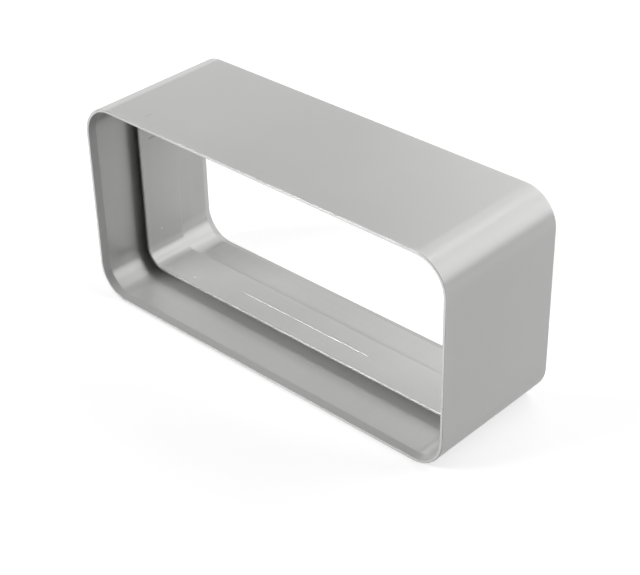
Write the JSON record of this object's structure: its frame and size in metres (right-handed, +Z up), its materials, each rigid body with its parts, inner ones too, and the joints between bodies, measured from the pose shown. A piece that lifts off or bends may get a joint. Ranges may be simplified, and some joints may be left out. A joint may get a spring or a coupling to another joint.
{
  "type": "rectangular duct coupler",
  "caption": "Short moulded sleeve that joins lengths of flat rectangular ventilation duct end to end, with a socket at each mouth and an inner stop sleeve.",
  "frame": {"origin": "on the floor, under the middle of the coupler as it stands on one wide wall", "axes": "+Z up, +X across the wide walls, +Y along the duct from the front mouth to the back mouth"},
  "size_m": [0.155, 0.052, 0.075],
  "materials": {
    "grey_plastic": "light grey moulded plastic with a fine satin surface"
  },
  "bodies": {
    "root": {"coupler_body": "grey_plastic"}
  },
  "joints": []
}
